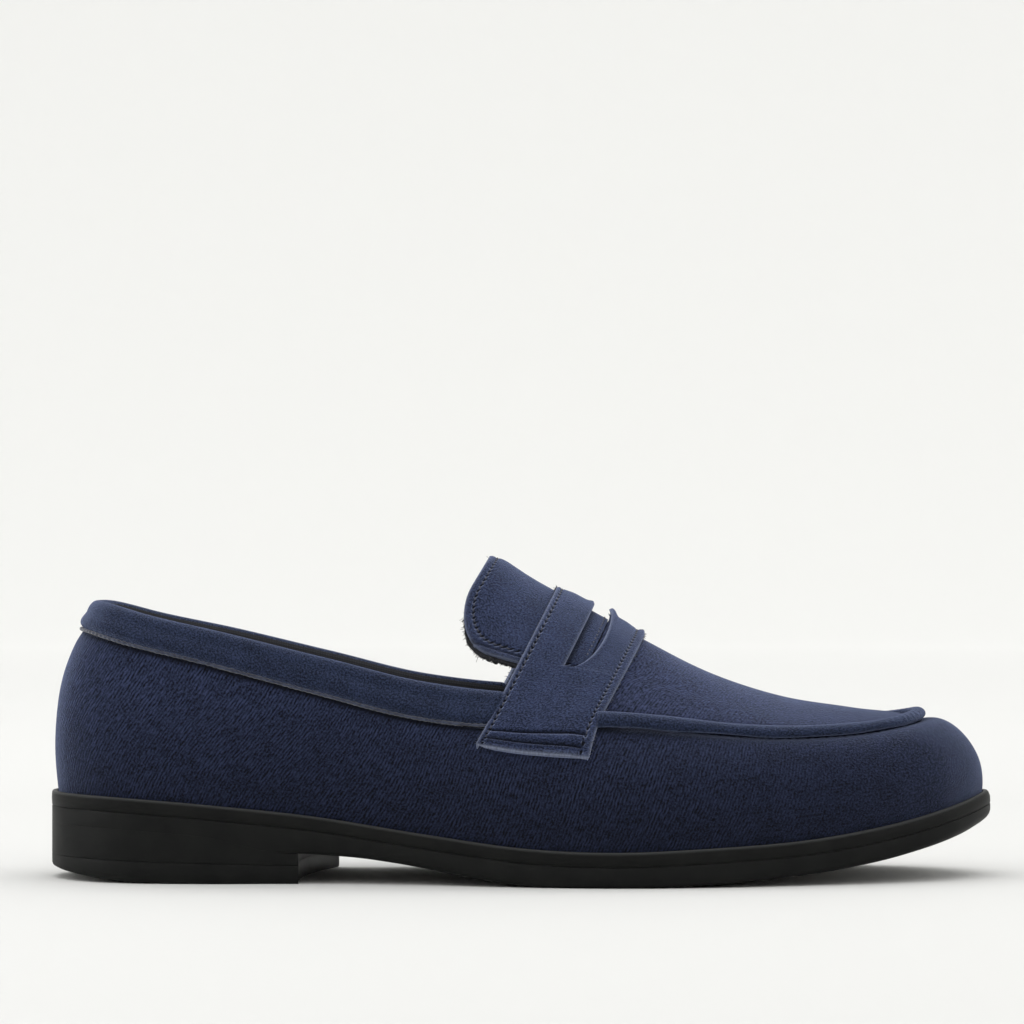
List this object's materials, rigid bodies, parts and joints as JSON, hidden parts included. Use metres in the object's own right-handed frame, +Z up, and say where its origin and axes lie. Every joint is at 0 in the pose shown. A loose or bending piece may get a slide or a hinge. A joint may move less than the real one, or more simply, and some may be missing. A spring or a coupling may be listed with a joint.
{
  "type": "penny loafer",
  "caption": "Slip-on shoe for the right foot with an apron toe, a slotted saddle strap, a short tongue, a padded collar and a low heel.",
  "frame": {"origin": "on the floor, under the middle of the shoe's length and width", "axes": "+X from the heel to the toe, +Z up, -Y the outer side of a right shoe"},
  "size_m": [0.297, 0.103, 0.101],
  "materials": {
    "twill_suede": "brushed suede with a fine diagonal twill line",
    "plain_suede": "plain suede nap",
    "piping_suede": "suede piping, a little lighter where it is rubbed",
    "moulded_rubber": "satin black moulded rubber",
    "lining_textile": "dark woven lining",
    "sock_leather": "dark smooth lining leather",
    "foam": "open-cell foam",
    "fibreboard": "pressed cellulose board",
    "cork": "granulated cork",
    "steel": "bright steel"
  },
  "bodies": {
    "shoe": {"outsole": "moulded_rubber", "rand": "moulded_rubber", "heel_block": "moulded_rubber", "heel_top_piece": "moulded_rubber", "heel_nail_1": "steel", "heel_nail_2": "steel", "heel_nail_3": "steel", "heel_nail_4": "steel", "heel_nail_5": "steel", "shank": "steel", "bottom_filler": "cork", "insole_board": "fibreboard", "foot_pad": "foam", "sock_lining": "sock_leather", "side_wall": "twill_suede", "heel_counter": "fibreboard", "toe_puff": "fibreboard", "quarter_lining": "lining_textile", "vamp_lining": "lining_textile", "heel_grip": "sock_leather", "apron": "twill_suede", "apron_lining": "lining_textile", "apron_ridge": "twill_suede", "tongue_base": "plain_suede", "saddle_strap": "plain_suede", "strap_bar_lateral": "plain_suede", "strap_bar_medial": "plain_suede", "collar_band": "plain_suede", "collar_foam": "foam", "collar_piping": "piping_suede"},
    "tongue": {"tongue": "plain_suede", "tongue_lining": "lining_textile"}
  },
  "joints": [
    {"name": "tongue_lift", "type": "hinge", "parent": "shoe", "child": "tongue", "pos_m": [0.0101, 0.0024, 0.0893], "axis": [0, 1, 0], "range_deg": [0, 35], "stiffness_Nm_per_rad": 0.05}
  ]
}
